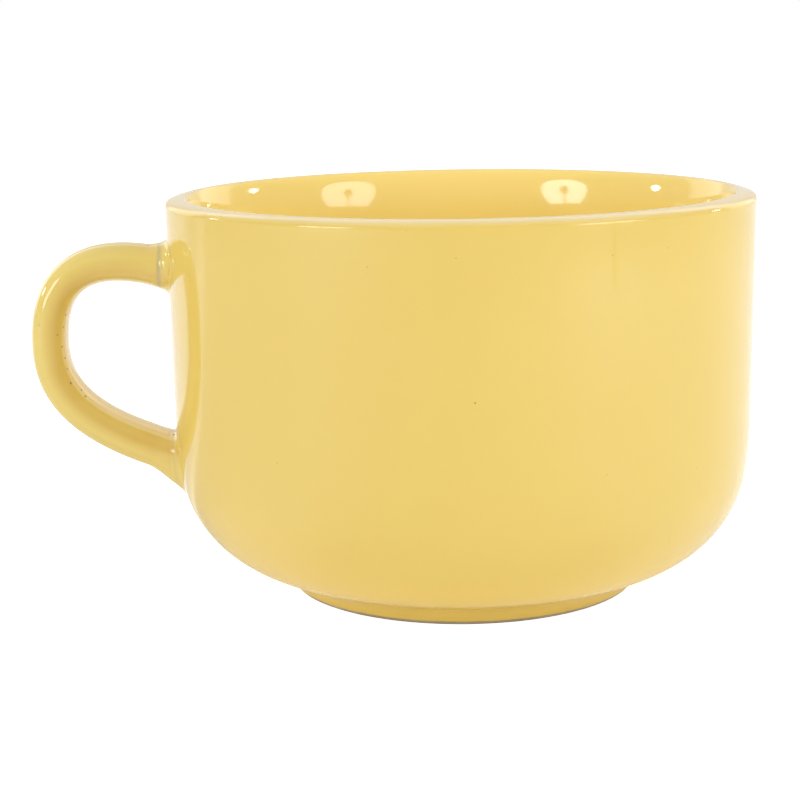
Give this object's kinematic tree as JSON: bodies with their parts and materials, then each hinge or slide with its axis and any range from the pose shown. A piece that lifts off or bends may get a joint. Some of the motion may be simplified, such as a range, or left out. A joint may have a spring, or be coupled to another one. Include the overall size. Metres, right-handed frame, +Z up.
{
  "type": "soup mug",
  "caption": "Wide soup mug with a straight wall, rounded shoulder, low turned foot ring and looped strap handle, glazed inside and out with a bare resting face.",
  "frame": {"origin": "centre of the foot ring's resting face, on the bowl's axis", "axes": "+Z up along the bowl's axis to the open rim; the handle points to -X, with its loop in the XZ plane"},
  "size_m": [0.1583, 0.128, 0.0867],
  "materials": {
    "clay": "fired stoneware, bare and matte on the foot",
    "slip": "fired slip under the glaze",
    "inside_glaze": "glossy pale yellow",
    "outside_glaze": "glossy pale yellow"
  },
  "bodies": {
    "root": {"mug_body": "clay", "handle": "clay", "upper_handle_joint": "slip", "lower_handle_joint": "slip", "inside_glaze": "inside_glaze", "outside_glaze": "outside_glaze", "handle_glaze": "outside_glaze", "base_glaze": "outside_glaze"}
  },
  "joints": []
}
